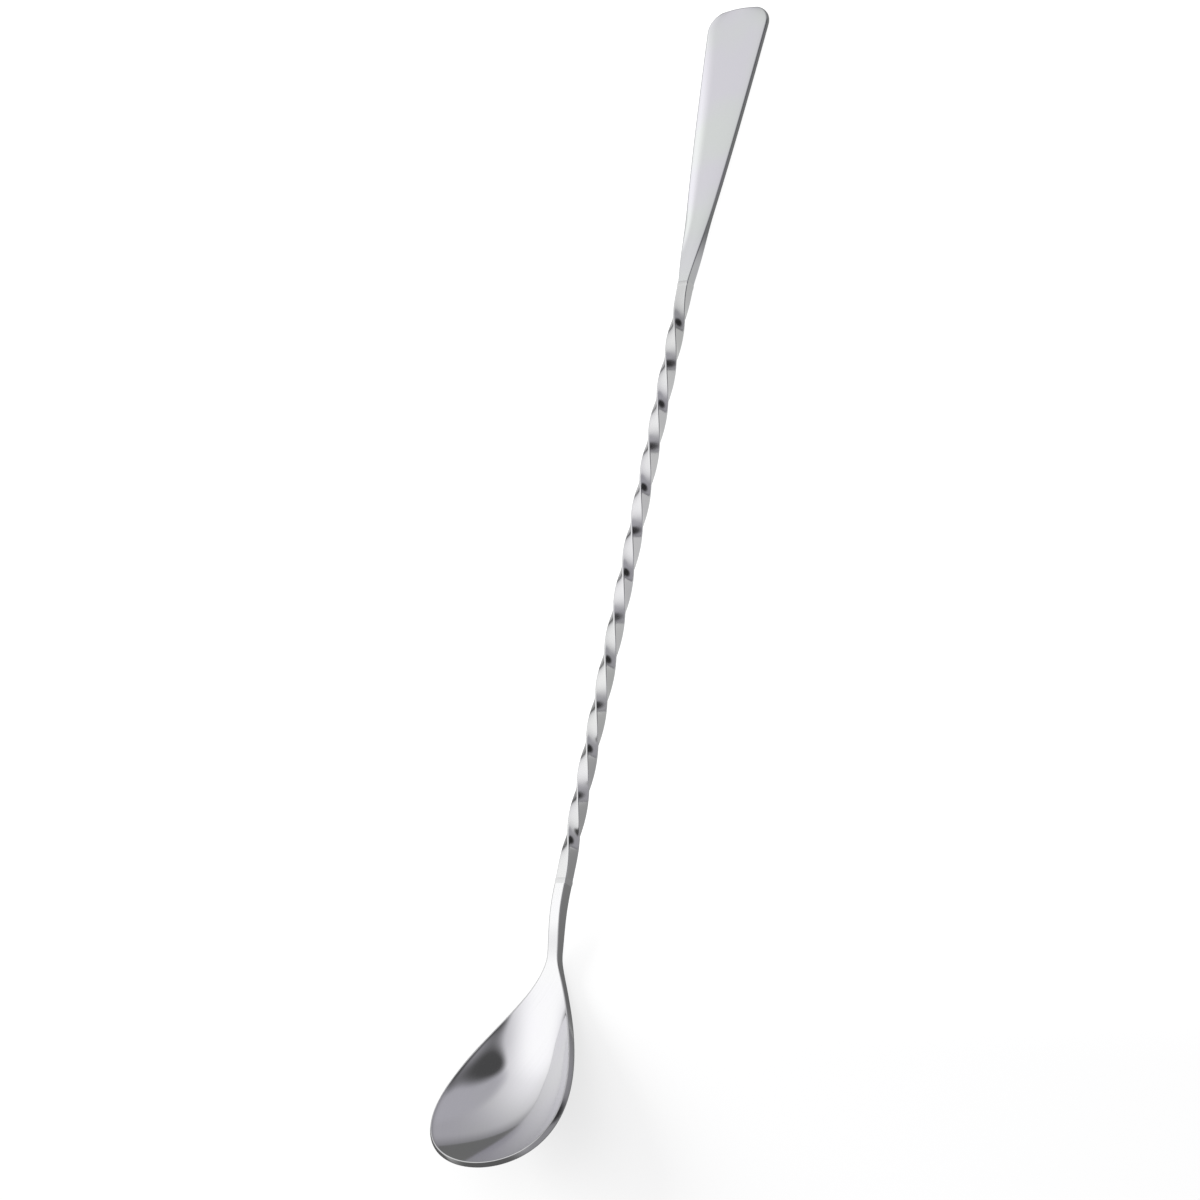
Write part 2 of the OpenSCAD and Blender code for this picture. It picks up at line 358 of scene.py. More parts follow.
@dataclass
class HandleBlade:
    """Flared handle: a crowned blade that grows into the square bar at its weld, in millimetres.

    Attributes:
        bar: The bar that it grows into.
        weld: The weld at its narrow end.
        length: Length to the middle of the weld.
        end_w: Width of the flared end.
        thickness: Thickness of the blade at its edges.
        crown: Rise of its upper face in the middle.
        corner_r: Rounding of the flared end's corners.
        edge_r: Rounding of its edges.
        flat_back_share: Share of the length that keeps the blade's thickness.
        taper_power: Power of the taper from the flared end.
        full_round_share: Largest rounding of an edge, as a share of the thickness.
        corner_rings: Rings round the corners.
        blade_rings: Rings along the rest.
        steps: Steps of a ring.
    """

    bar: SquareBar
    weld: Weld
    length: float = 60.0
    end_w: float = 14.0
    thickness: float = 1.1
    crown: float = 0.35
    corner_r: float = 4.2
    edge_r: float = 0.4
    flat_back_share: float = 0.72
    taper_power: float = 1.31
    full_round_share: float = 0.42
    corner_rings: int = 40
    blade_rings: int = 150
    steps: RingSteps = field(default_factory=lambda: RingSteps(face=40, edge=8, wear=0.12))

    @property
    def neck_x(self) -> float:
        """Place where the handle meets its weld."""
        return self.length - self.weld.half_w

    def growth(self, d: Array) -> Array:
        """Growth from the blade to the square bar at d from the flared end."""
        start = self.flat_back_share * self.length
        return ease((d - start) / (self.neck_x - start))

    def half_width(self, d: Array) -> Array:
        """Half width of the blade.

        Args:
            d: Distances from the flared end.

        Returns:
            The half width at each distance, with its rounded corners.
        """
        left = np.clip(1.0 - d / self.neck_x, 0.0, 1.0)
        full = np.sqrt(mix(self.bar.side**2, self.end_w**2, left**self.taper_power)) / 2.0
        return full - fallback(d, self.corner_r) - fallback(d, self.edge_r)

    def stations(self) -> Array:
        """Places of the rings, close together round the end's edge and corners."""
        corner = self.corner_r * (1.0 - np.cos(np.linspace(0.0, math.pi / 2.0, self.corner_rings + 1)))
        lip = self.edge_r * (1.0 - np.cos(np.linspace(0.0, math.pi / 2.0, self.steps.edge + 1)))
        blade = np.linspace(self.corner_r, self.neck_x, self.blade_rings + 1)
        return np.unique(np.round(np.concatenate([lip, corner, blade]), STATION_DIGITS))

    def skin(self) -> Skin:
        """Skin of the handle, with its bevelled end under the weld."""
        d = self.stations()
        growth = self.growth(d)
        half_t = mix(self.thickness, self.bar.side, growth) / 2.0 - fallback(d, self.edge_r)
        edge_r = np.minimum(mix(self.edge_r, self.bar.edge_r, growth), self.full_round_share * 2.0 * half_t)
        blade = bar_rings(d, self.half_width(d), half_t, self.crown * (1.0 - growth), edge_r, self.steps)
        land = self.bar.rings(np.array([self.length]), -self.weld.depth, self.steps)
        rings = np.concatenate([blade, land])
        return Skin(rings, self.steps.edge_shares(), girth(rings), sharp_rings=(len(d) - 1, len(d)))


@dataclass
class TwistedStem:
    """Square bar twisted left-handed, plain at both ends where it is welded, in millimetres.

    Attributes:
        bar: The bar that is twisted.
        weld: The weld at each end.
        start_x: Middle of the handle's weld.
        quarter_len: Length of a quarter turn.
        quarter_turns: Quarter turns of the twist.
        ramp_len: Length over which the twist starts and dies out.
        quarter_rings: Rings in a quarter turn.
        ramp_rings: Rings in a ramp.
        steps: Steps of a ring.
    """

    bar: SquareBar
    weld: Weld
    start_x: float
    quarter_len: float = 8.35
    quarter_turns: int = 13
    ramp_len: float = 6.0
    quarter_rings: int = 26
    ramp_rings: int = 20
    steps: RingSteps = field(default_factory=lambda: RingSteps(face=10, edge=6, wear=0.2))

    @property
    def twist_len(self) -> float:
        """Length of the stem between its welds."""
        return self.quarter_turns * self.quarter_len + self.ramp_len

    @property
    def end_x(self) -> float:
        """Middle of the bowl's weld."""
        return self.start_x + self.twist_len + 2.0 * self.weld.half_w

    def twist(self, s: Array) -> Array:
        """Angle of the twist.

        Args:
            s: Distances from the handle's weld.

        Returns:
            The angle at each distance, whose rate climbs and dies out over the ramps.
        """
        start = np.minimum(s, self.ramp_len)
        finish = np.maximum(s - (self.twist_len - self.ramp_len), 0.0)
        plain = np.maximum(s - self.ramp_len, 0.0) - finish
        turned = start**2 / (2.0 * self.ramp_len) + plain + finish - finish**2 / (2.0 * self.ramp_len)
        return -math.pi / 2.0 / self.quarter_len * turned

    def skin(self) -> Skin:
        """Skin of the stem, with a bevel under each weld."""
        ramp = np.linspace(0.0, self.ramp_len, self.ramp_rings + 1)
        plain_n = self.quarter_turns * self.quarter_rings
        plain = np.linspace(self.ramp_len, self.twist_len - self.ramp_len, plain_n + 1)
        s = np.concatenate([ramp[:-1], plain, self.twist_len - ramp[-2::-1]])
        angles = np.concatenate([[0.0], self.twist(s), self.twist(s[-1:])])
        x = np.concatenate([[self.start_x], self.start_x + self.weld.half_w + s, [self.end_x]])
        grow = np.zeros(len(x))
        grow[[0, -1]] = -self.weld.depth
        square = self.bar.rings(x, grow, self.steps)
        cos, sin = np.cos(angles)[:, None], np.sin(angles)[:, None]
        rings = square.copy()
        rings[..., 1] = square[..., 1] * cos - square[..., 2] * sin
        rings[..., 2] = square[..., 1] * sin + square[..., 2] * cos
        creases = (0, 1, len(x) - 2, len(x) - 1)
        return Skin(rings, self.steps.edge_shares(), girth(square), sharp_rings=creases)


@dataclass
class SpoonBowl:
    """Pressed teardrop bowl with its short neck, b measured from the edge of its weld, in millimetres.

    Attributes:
        bar: The bar that the neck starts from.
        weld: The weld at the neck.
        weld_x: Middle of that weld.
        neck_len: Length of the neck.
        length: Length of the bowl.
        width: Width of the bowl.
        depth: Depth of the hollow below the rim.
        thickness: Thickness of the wall.
        heel_drop: How far the rim drops at the heel.
        pitch: Angle at which the rim climbs to the tip, in degrees.
        flare_power: Power of the outline's growth from the heel.
        nose_power: Power of its rounding towards the tip.
        neck_blend: Power that blends the neck into the outline.
        heel_low_share: Place of the drop's end, as a share of the length.
        bend_share: Place of the rim's bend, as a share of the length.
        bend_soft_share: Softness of the bend, as a share of the length.
        thin_share: Place where the wall has its thickness, as a share of the length.
        hollow_full_share: Place where the hollow is fully formed, as a share of the length.
        tip_wall_power: Power of the hollow's rise at the tip.
        rim_round_share: Rounding of the rim, as a share of the wall.
        rings_n: Steps along the neck and the bowl.
        steps: Steps of a ring.
    """

    bar: SquareBar
    weld: Weld
    weld_x: float
    neck_len: float = 10.6
    length: float = 39.8
    width: float = 24.2
    depth: float = 5.5
    thickness: float = 1.0
    heel_drop: float = 3.4
    pitch: float = 21.0
    flare_power: float = 1.31
    nose_power: float = 1.56
    neck_blend: float = 3.0
    heel_low_share: float = 0.25
    bend_share: float = 0.225
    bend_soft_share: float = 0.148
    thin_share: float = 0.35
    hollow_full_share: float = 0.6
    tip_wall_power: float = 2.5
    rim_round_share: float = 0.18
    rings_n: int = 220
    steps: RingSteps = field(default_factory=lambda: RingSteps(face=72, edge=8, wear=0.04))

    @property
    def start_x(self) -> float:
        """Place where the neck leaves the weld."""
        return self.weld_x + self.weld.half_w

    @property
    def reach(self) -> float:
        """Length of the neck and the bowl."""
        return self.neck_len + self.length

    @property
    def rim_r(self) -> float:
        """Rounding of the rim."""
        return self.rim_round_share * self.thickness

    def along(self, b: Array) -> Array:
        """Share of the bowl's length from its heel."""
        return np.clip((b - self.neck_len) / self.length, 0.0, 1.0)

    def half_width(self, b: Array) -> Array:
        """Half width of the upper face.

        Args:
            b: Distances from the edge of the weld.

        Returns:
            The half width at each distance, zero at the tip.
        """
        neck_half = self.bar.side / 2.0 - self.bar.edge_r
        widest = (self.flare_power / (self.flare_power + self.nose_power / 2.0)) ** (1.0 / self.nose_power)
        scale = self.width / 2.0 / (widest**self.flare_power * math.sqrt(1.0 - widest**self.nose_power))
        x = self.along(b)
        flare = scale * x**self.flare_power
        soft = (neck_half**self.neck_blend + flare**self.neck_blend) ** (1.0 / self.neck_blend)
        return soft * np.sqrt(1.0 - x**self.nose_power)

    def climb(self, b: Array) -> Array:
        """Rise of the rim's line towards the tip.

        Args:
            b: Distances from the edge of the weld.

        Returns:
            The rise at each distance, level before a soft bend.
        """
        bend = self.neck_len + self.bend_share * self.length
        soft = self.bend_soft_share * self.length
        return math.tan(math.radians(self.pitch)) * (b - bend + np.hypot(b - bend, soft)) / 2.0

    def rim_height(self, b: Array) -> Array:
        """Height of the rim above the stem's middle line."""
        drop = self.heel_drop * ease(b / (self.neck_len + self.heel_low_share * self.length))
        return self.bar.side / 2.0 - drop + self.climb(b) - self.climb(np.zeros(1))

    def hollow_form(self, b: Array) -> Array:
        """Unscaled depth of the hollow on the middle line."""
        x = self.along(b)
        return self.half_width(b) * np.sqrt(1.0 - x**self.tip_wall_power) * ease(x / self.hollow_full_share)

    def hollow(self, b: Array) -> Array:
        """Depth of the hollow below the rim on the middle line."""
        peak = self.hollow_form(np.linspace(self.neck_len, self.reach, self.rings_n + 1)).max()
        return self.depth * self.hollow_form(b) / peak

    def thinning(self, b: Array) -> Array:
        """Change from the square neck to the thin wall."""
        return ease(b / (self.neck_len + self.thin_share * self.length))

    def face(self, sweep: Array, lane: Array) -> Array:
        """Points of the upper face.

        Args:
            sweep: Sweep angles, a right angle at the tip.
            lane: Places across the face, from -1 to 1.

        Returns:
            Points as (sweep, lane, xyz), from the start of the neck.
        """
        b = self.reach * np.sin(sweep)[:, None]
        y = self.half_width(b) * lane[None]
        z = self.rim_height(b) - self.hollow(b) * (1.0 - lane[None] ** 2)
        return np.stack([np.broadcast_to(b, y.shape), y, z], axis=-1)

    def sweep_direction(self, sweep: Array, lane: Array, step: float = 1e-4) -> Array:
        """Direction of the upper face along the spoon."""
        return units(self.face(sweep + step, lane) - self.face(sweep - step, lane))

    def normal(self, sweep: Array, lane: Array) -> Array:
        """Direction square to the upper face.

        Args:
            sweep: Sweep angles, a right angle at the tip.
            lane: Places across the face, from -1 to 1.

        Returns:
            Directions as (sweep, lane, xyz).
        """
        b = self.reach * np.sin(sweep)[:, None]
        slope = 2.0 * self.hollow(b) * lane[None]
        half_w = np.broadcast_to(self.half_width(b), slope.shape)
        over = np.stack([np.zeros_like(slope), half_w, slope], axis=-1)
        return units(np.cross(self.sweep_direction(sweep, lane), over))

    def wall_edge(self, edge: Array, up: Array, out: Array, wall: Array, edge_r: Array) -> Array:
        """Rounded edge of the wall.

        Args:
            edge: Points of the upper face's edge.
            up: Direction square to the face there.
            out: Direction away from the bowl there.
            wall: Thickness of the wall.
            edge_r: Rounding of its edges.

        Returns:
            Points as (ring, place, xyz), from the upper face to the back.
        """
        edge, up, out = edge[:, None], up[:, None], out[:, None]
        wall, edge_r = wall[:, None, None], edge_r[:, None, None]
        angle = self.steps.turns()[None, :, None] * math.pi / 2.0
        upper = edge - edge_r * up + edge_r * (up * np.cos(angle) + out * np.sin(angle))
        angle = angle[:, ::-1]
        lower = edge - (wall - edge_r) * up + edge_r * (out * np.sin(angle) - up * np.cos(angle))
        return np.concatenate([upper, lower], axis=1)

    def skin(self) -> Skin:
        """Skin of the bowl and neck, closed to a seam at the tip."""
        sweep = np.linspace(0.0, math.pi / 2.0, self.rings_n + 1)[1:-1]
        b = self.reach * np.sin(sweep)
        lanes, one = self.steps.lanes(), np.ones(1)
        thin = self.thinning(b)
        wall = mix(self.bar.side, self.thickness, thin)
        edge_r = mix(self.bar.edge_r, self.rim_r, thin)
        face = self.face(sweep, lanes)
        back = (face - wall[:, None, None] * self.normal(sweep, lanes))[:, ::-1]
        up = self.normal(sweep, one)[:, 0]
        out = units(np.cross(up, self.sweep_direction(sweep, one)[:, 0]))
        side = self.wall_edge(face[:, -1], up, out, wall, edge_r)
        far_side = (side * np.array([1.0, -1.0, 1.0]))[:, ::-1]
        rings = np.concatenate([face, side, back, far_side], axis=1)
        rings[..., 0] += self.start_x
        start_x, grow = np.array([self.weld_x, self.start_x]), np.array([-self.weld.depth, 0.0])
        start = self.bar.rings(start_x, grow, self.steps)
        rings = np.concatenate([start, rings])
        return Skin(
            rings,
            self.steps.edge_shares(),
            girth(rings),
            seam=self.tip_seam(),
            seam_places=self.seam_places(),
            sharp_rings=(0, 1),
        )

    def tip_seam(self, step: float = math.radians(5.0)) -> Array:
        """Points that close the tip.

        Args:
            step: Sweep angle before the tip that gives the tip's slope.

        Returns:
            Points as (place, xyz): upper face, rounded edge, back.
        """
        tip = self.face(np.array([math.pi / 2.0]), np.zeros(1))[0, 0]
        before = self.face(np.array([math.pi / 2.0 - step]), np.zeros(1))[0, 0]
        out = units(tip - before)
        up = np.array([-out[2], 0.0, out[0]])
        thickness, rim_r = np.array([self.thickness]), np.array([self.rim_r])
        edge = self.wall_edge(tip[None], up[None], out[None], thickness, rim_r)[0]
        seam = np.concatenate([tip[None], edge, (tip - self.thickness * up)[None]])
        return seam + np.array([self.start_x, 0.0, 0.0])

    def seam_places(self) -> Array:
        """Place in the tip's seam of each place round a ring."""
        face_n, edge_n = self.steps.face + 1, 2 * self.steps.edge
        down = np.arange(1, edge_n + 1)
        return np.concatenate([np.zeros(face_n), down, np.full(face_n, edge_n + 1), down[::-1]]).astype(int)


@dataclass
class WeldRing:
    """Weld that fills the groove between two bevelled bar ends, with a low round bead."""

    bar: SquareBar
    weld: Weld
    x: float
    bead_rings: int = 14
    steps: RingSteps = field(default_factory=lambda: RingSteps(face=10, edge=6, wear=0.2))

    def skin(self) -> Skin:
        """Skin of the ring: its bead from edge to edge, and its root in the groove."""
        t = np.linspace(-1.0, 1.0, self.bead_rings + 1)
        x = np.append(self.x + self.weld.half_w * t, self.x)
        grow = np.append(self.weld.bead * (1.0 - t**2), -self.weld.depth)
        rings = self.bar.rings(x, grow, self.steps)
        creases = (0, self.bead_rings, self.bead_rings + 1)
        return Skin(rings, self.steps.edge_shares(), girth(rings), sharp_rings=creases, loop=True)


@dataclass(frozen=True)
class RestPose:
    """Turn and shift that lay the spoon on its handle's end and its bowl's belly."""

    angle: float
    shift: Triple

    @classmethod
    def of(cls, handle: HandleBlade, bowl: SpoonBowl) -> "RestPose":
        """Find the rest pose.

        Args:
            handle: The handle, which rests on the back of its flared end.
            bowl: The bowl, which rests on its belly.

        Returns:
            The pose, with the origin under the middle of the spoon's length.
        """
        blade, cup = handle.skin().points(), bowl.skin().points()
        heel_x, heel_z = handle.edge_r, -handle.thickness / 2.0
        middle = cup[np.abs(cup[:, 1]) < MIDDLE_TOLERANCE]
        angle = float(np.arctan2(heel_z - middle[:, 2], middle[:, 0] - heel_x).max())
        leaned = cls(angle, (0.0, 0.0, 0.0)).lean(np.concatenate([blade, cup]))
        low, high = leaned.min(axis=0), leaned.max(axis=0)
        return cls(angle, (-(low[0] + high[0]) / 2.0, 0.0, -low[2]))

    def lean(self, points: Array) -> Array:
        """Turn points by the pose's angle.

        Args:
            points: Points along the stem, in millimetres.

        Returns:
            The turned points, in millimetres.
        """
        cos, sin = math.cos(self.angle), math.sin(self.angle)
        x = points[:, 0] * cos - points[:, 2] * sin
        z = points[:, 0] * sin + points[:, 2] * cos
        return np.stack([x, points[:, 1], z], axis=1)

    def place(self, points: Array) -> Array:
        """Points in millimetres along the stem, moved to their rest in metres."""
        return (self.lean(points) + np.array(self.shift)) * MM


class Graph:
    """Small builder of shader node trees."""

    def __init__(self, tree: bpy.types.NodeTree) -> None:
        """Start with an empty tree."""
        self.tree = tree
        tree.nodes.clear()

    @classmethod
    def of_material(cls, name: str) -> tuple[bpy.types.Material, "Graph"]:
        """Make a material.

        Args:
            name: Name of the material.

        Returns:
            The material, and the builder of its empty node tree.
        """
        material = bpy.data.materials.new(name)
        material.use_nodes = True
        return material, cls(material.node_tree)

    def add(self, kind: str, inputs: Inputs | None = None, **settings: object) -> bpy.types.Node:
        """Add a node.

        Args:
            kind: Blender's name of the node type.
            inputs: Values or other nodes' outputs for its inputs, by name or number.
            settings: Properties of the node, by name.

        Returns:
            The new node.
        """
        node = self.tree.nodes.new(kind)
        for name, value in settings.items():
            setattr(node, name, value)
        for key, value in (inputs or {}).items():
            self.put(node.inputs[key], value)
        return node

    def put(self, socket: Socket, value: object) -> None:
        """Link or set a socket.

        Args:
            socket: The input socket.
            value: Another node's output, or a plain value.
        """
        if isinstance(value, Socket):
            self.tree.links.new(value, socket)
        else:
            socket.default_value = value

    def math(self, operation: str, a: object, b: object) -> Socket:
        """Result of one sum of two values."""
        return self.add("ShaderNodeMath", {0: a, 1: b}, operation=operation).outputs[0]

    def ramp(self, value: object, low: float, high: float, start: object = 0.0, end: object = 1.0) -> Socket:
        """Smooth change from start to end as a value goes from low to high."""
        given = {"Value": value, "From Min": low, "From Max": high, "To Min": start, "To Max": end}
        return self.add("ShaderNodeMapRange", given, interpolation_type="SMOOTHSTEP").outputs["Result"]

    def blend(self, share: object, a: object, b: object, kind: str = "MIX") -> Socket:
        """Mix of two colours."""
        given = {"Factor": share, "A": a, "B": b}
        return self.add("ShaderNodeMix", given, data_type="RGBA", blend_type=kind).outputs["Result"]

    def noise(self, vector: Socket, scale: float, detail: float) -> Socket:
        """Noise value along a vector."""
        given = {"Vector": vector, "Scale": scale, "Detail": detail}
        return self.add("ShaderNodeTexNoise", given).outputs["Fac"]

    def axis(self, vector: Socket, name: str) -> Socket:
        """X, Y or Z of a vector."""
        return self.add("ShaderNodeSeparateXYZ", {0: vector}).outputs[name]

    def stretch(self, vector: Socket, scale: Triple) -> Socket:
        """Vector scaled by a factor along each axis."""
        return self.add("ShaderNodeVectorMath", {0: vector, 1: scale}, operation="MULTIPLY").outputs[0]

    def measure(self, operation: str, vector: Socket, other: object = (0.0, 0.0, 0.0)) -> Socket:
        """Length of a vector, or its distance from another, or their dot product."""
        return self.add("ShaderNodeVectorMath", {0: vector, 1: other}, operation=operation).outputs["Value"]

    def glow(self, strength: object) -> Socket:
        """Surface of an even white radiance."""
        return self.add("ShaderNodeEmission", {"Strength": strength}).outputs[0]

    def cover(self, share: object, under: Socket, over: Socket) -> Socket:
        """Mix of two surfaces, one over the other."""
        return self.add("ShaderNodeMixShader", {0: share, 1: under, 2: over}).outputs[0]

    def show(self, surface: Socket, output: str = "ShaderNodeOutputMaterial") -> None:
        """Send a surface to the tree's output."""
        self.add(output, {"Surface": surface})


def grey(value: float) -> Colour:
    """Opaque grey."""
    return (value, value, value, 1.0)


@dataclass(frozen=True)
class PolishMarks:
    """Marks that drawing and polishing leave, alike in all the finishes.

    Attributes:
        tint_scale: Patches per metre of the drift from the cool colour to the warm one.
        tint_detail: Finer steps of these patches.
        tint_limits: Noise between which the colour drifts.
        haze_scale: Patches per metre of the hazier polish.
        haze_detail: Finer steps of these patches.
        haze_limits: Noise between which the polish gets hazy.
        wave_scale: Waves per metre of the slow unevenness.
        wave_detail: Finer steps of these waves.
        line_stretch: Draw lines per metre, along the piece and round it.
        line_detail: Finer steps of the lines.
        streak_limits: Noise between which a line tints the steel.
        streak: Share and grey of that tint.
        dull_limits: Noise between which a line dulls the steel.
        dull: Roughness that it adds.
        hair_turns: Slants of the two runs of hairlines, in radians.
        hair_stretch: Hairlines per metre, along their slant and across it.
        hair_detail: Finer steps of the hairlines.
        hair_limits: Noise between which a hairline shows.
        hair_dull: Roughness that it adds.
        handle_run: Along the spoon, where the handle's tone ends and the stem's own tone starts.
    """

    tint_scale: float = 55.0
    tint_detail: float = 2.0
    tint_limits: Span = (0.38, 0.62)
    haze_scale: float = 130.0
    haze_detail: float = 4.0
    haze_limits: Span = (0.3, 0.7)
    wave_scale: float = 140.0
    wave_detail: float = 1.0
    line_stretch: Triple = (60.0, 9000.0, 1.0)
    line_detail: float = 4.0
    streak_limits: Span = (0.35, 0.75)
    streak: Span = (0.12, 0.62)
    dull_limits: Span = (0.45, 0.8)
    dull: float = 0.03
    hair_turns: Span = (-0.35, 0.8)
    hair_stretch: Triple = (140.0, 6500.0, 1.0)
    hair_detail: float = 1.0
    hair_limits: Span = (0.70, 0.80)
    hair_dull: float = 0.10
    handle_run: Span = (-0.053, -0.030)


@dataclass(frozen=True)
class PolishedSteel:
    """Polished stainless steel with draw lines, hairline scratches and edges of their own grey, lighter where
    burnished and darker where painted shade dulls the bowl's rim.

    Attributes:
        name: Name of the material.
        cool: Colour of the cooler, faintly violet areas.
        warm: Colour of the more neutral areas.
        gloss: Roughness of the clean polish and of its hazier patches.
        line_bump: Height of the draw lines, in metres.
        wave_bump: Height of the slow unevenness of the polish, in metres.
        edge_roughness: Roughness added on the edges, where the steel rubs.
        scratch_share: How strongly the hairline scratches show.
        edge_wear_and_shade: Share and grey of the edges' colour: a lighter grey is burnished wear, and the
            bowl's dark grey is painted shade that dulls its rim's highlight.
        handle_tone: Tone of the steel where it meets the handle, which is duller than the stem.
        marks: Marks of the polish.
    """

    name: str
    cool: Triple
    warm: Triple
    gloss: Span
    line_bump: float
    wave_bump: float
    edge_roughness: float
    scratch_share: float
    edge_wear_and_shade: Span = (0.25, 0.90)
    handle_tone: float = 1.0
    marks: PolishMarks = PolishMarks()

    def material(self) -> bpy.types.Material:
        """Make the finish's material."""
        material, graph = Graph.of_material(self.name)
        marks = self.marks
        place = graph.add("ShaderNodeTexCoord").outputs["Object"]
        polish = graph.add("ShaderNodeAttribute", attribute_name="polish").outputs["Vector"]
        edge = graph.add("ShaderNodeAttribute", attribute_name="edge").outputs["Fac"]
        lines = graph.noise(graph.stretch(polish, marks.line_stretch), 1.0, marks.line_detail)
        scratches = self.scratches(graph, polish)
        surface = graph.add("ShaderNodeBsdfPrincipled", {"Metallic": 1.0})
        colour = self.colour(graph, place, edge, lines)
        graph.put(surface.inputs["Base Color"], self.toned(graph, place, colour))
        haze = graph.noise(place, marks.haze_scale, marks.haze_detail)
        hazy = graph.ramp(haze, *marks.haze_limits, *self.gloss)
        dull = graph.math("ADD", hazy, graph.ramp(lines, *marks.dull_limits, 0.0, marks.dull))
        rubbed = graph.math("MULTIPLY", edge, self.edge_roughness)
        rubbed = graph.math("ADD", rubbed, graph.math("MULTIPLY", scratches, marks.hair_dull))
        graph.put(surface.inputs["Roughness"], graph.math("ADD", dull, rubbed))
        graph.put(surface.inputs["Normal"], self.relief(graph, place, lines, scratches))
        graph.show(surface.outputs["BSDF"])
        return material

    def colour(self, graph: Graph, place: Socket, edge: Socket, lines: Socket) -> Socket:
        """Colour of the steel.

        Args:
            graph: The material's node tree.
            place: Place on the object.
            edge: How much each place lies on an edge.
            lines: Draw lines along the piece.

        Returns:
            The drifting tint, streaked by the lines and blended on the edges to the edges' grey, which on the
            bowl's rim is painted shade.
        """
        marks = self.marks
        drift = graph.ramp(graph.noise(place, marks.tint_scale, marks.tint_detail), *marks.tint_limits)
        shade = graph.blend(drift, (*self.cool, 1.0), (*self.warm, 1.0))
        share, tone = marks.streak
        streaked = graph.blend(graph.ramp(lines, *marks.streak_limits, 0.0, share), shade, grey(tone))
        # Edges take their own grey; the bowl's dark rim grey is painted shade that hides the rim's highlight.
        share, tone = self.edge_wear_and_shade
        return graph.blend(graph.math("MULTIPLY", edge, share), streaked, grey(tone))

    def toned(self, graph: Graph, place: Socket, colour: Socket) -> Socket:
        """Colour with the handle's tone.

        Args:
            graph: The material's node tree.
            place: Place on the object.
            colour: Colour of the steel.

        Returns:
            The colour, which falls to the handle's tone towards the handle.
        """
        if self.handle_tone == 1.0:
            return colour
        share = graph.ramp(graph.axis(place, "X"), *self.marks.handle_run, 1.0, 0.0)
        return graph.blend(share, colour, grey(self.handle_tone), "MULTIPLY")

    def scratches(self, graph: Graph, polish: Socket) -> Socket:
        """Sparse hairlines.

        Args:
            graph: The material's node tree.
            polish: Place along and round the piece.

        Returns:
            How much each place lies on a hairline, in two slanting directions.
        """
        marks = self.marks
        share: object = 0.0
        for turn in marks.hair_turns:
            given = {"Vector": polish, "Angle": turn}
            slant = graph.add("ShaderNodeVectorRotate", given, rotation_type="Z_AXIS").outputs["Vector"]
            hair = graph.noise(graph.stretch(slant, marks.hair_stretch), 1.0, marks.hair_detail)
            shown = graph.ramp(hair, *marks.hair_limits, 0.0, self.scratch_share)
            share = graph.math("MAXIMUM", share, shown)
        return share

    def relief(self, graph: Graph, place: Socket, lines: Socket, scratches: Socket) -> Socket:
        """Bumps of the finish.

        Args:
            graph: The material's node tree.
            place: Place on the object.
            lines: Draw lines along the piece.
            scratches: Hairlines across the piece.

        Returns:
            The bumped normal.
        """
        waves = graph.noise(place, self.marks.wave_scale, self.marks.wave_detail)
        marked = graph.math("SUBTRACT", lines, scratches)
        slow = graph.add("ShaderNodeBump", {"Strength": 1.0, "Distance": self.wave_bump, "Height": waves})
        fine = graph.add("ShaderNodeBump", {"Strength": 1.0, "Distance": self.line_bump, "Height": marked})
        graph.put(fine.inputs["Normal"], slow.outputs["Normal"])
        return fine.outputs["Normal"]


FINISHES: dict[SteelSlot, PolishedSteel] = {
    SteelSlot.HANDLE: PolishedSteel(
        "satin_handle",
        cool=(0.625, 0.615, 0.66),
        warm=(0.62, 0.64, 0.63),
        gloss=(0.08, 0.11),
        line_bump=2.0e-7,
        wave_bump=1.0e-5,
        edge_roughness=0.04,
        scratch_share=0.8,
        edge_wear_and_shade=(0.15, 0.50),
    ),
    SteelSlot.STEM: PolishedSteel(
        "polished_stem",
        cool=(0.70, 0.695, 0.715),
        warm=(0.70, 0.705, 0.70),
        gloss=(0.10, 0.15),
        line_bump=2.0e-7,
        wave_bump=2.0e-6,
        edge_roughness=0.05,
        scratch_share=0.4,
        handle_tone=0.86,
    ),
    SteelSlot.BOWL: PolishedSteel(
        "mirror_bowl",
        cool=(0.855, 0.85, 0.875),
        warm=(0.86, 0.865, 0.86),
        gloss=(0.05, 0.09),
        line_bump=1.5e-7,
        wave_bump=1.0e-5,
        edge_roughness=0.08,
        scratch_share=0.6,
        # Painted shade: the bowl's rim edges are darkened to dull their highlight.
        edge_wear_and_shade=(0.6, 0.40),
    ),
    SteelSlot.WELD: PolishedSteel(
        "dressed_weld",
        cool=(0.69, 0.685, 0.705),
        warm=(0.69, 0.695, 0.69),
        gloss=(0.11, 0.15),
        line_bump=3.0e-7,
        wave_bump=2.0e-6,
        edge_roughness=0.03,
        scratch_share=0.4,
        handle_tone=0.86,
    ),
}


@dataclass(frozen=True)
class StudioCard:
    """Soft round area of the studio's walls, as the polished steel sees it.

    Attributes:
        towards: Direction of its middle.
        core: Angle of the area that has its full radiance, in degrees.
        rim: Angle at which it has faded out, in degrees.
        radiance: Radiance and tint of the area.
    """

    towards: Triple
    core: float
    rim: float
    radiance: Colour


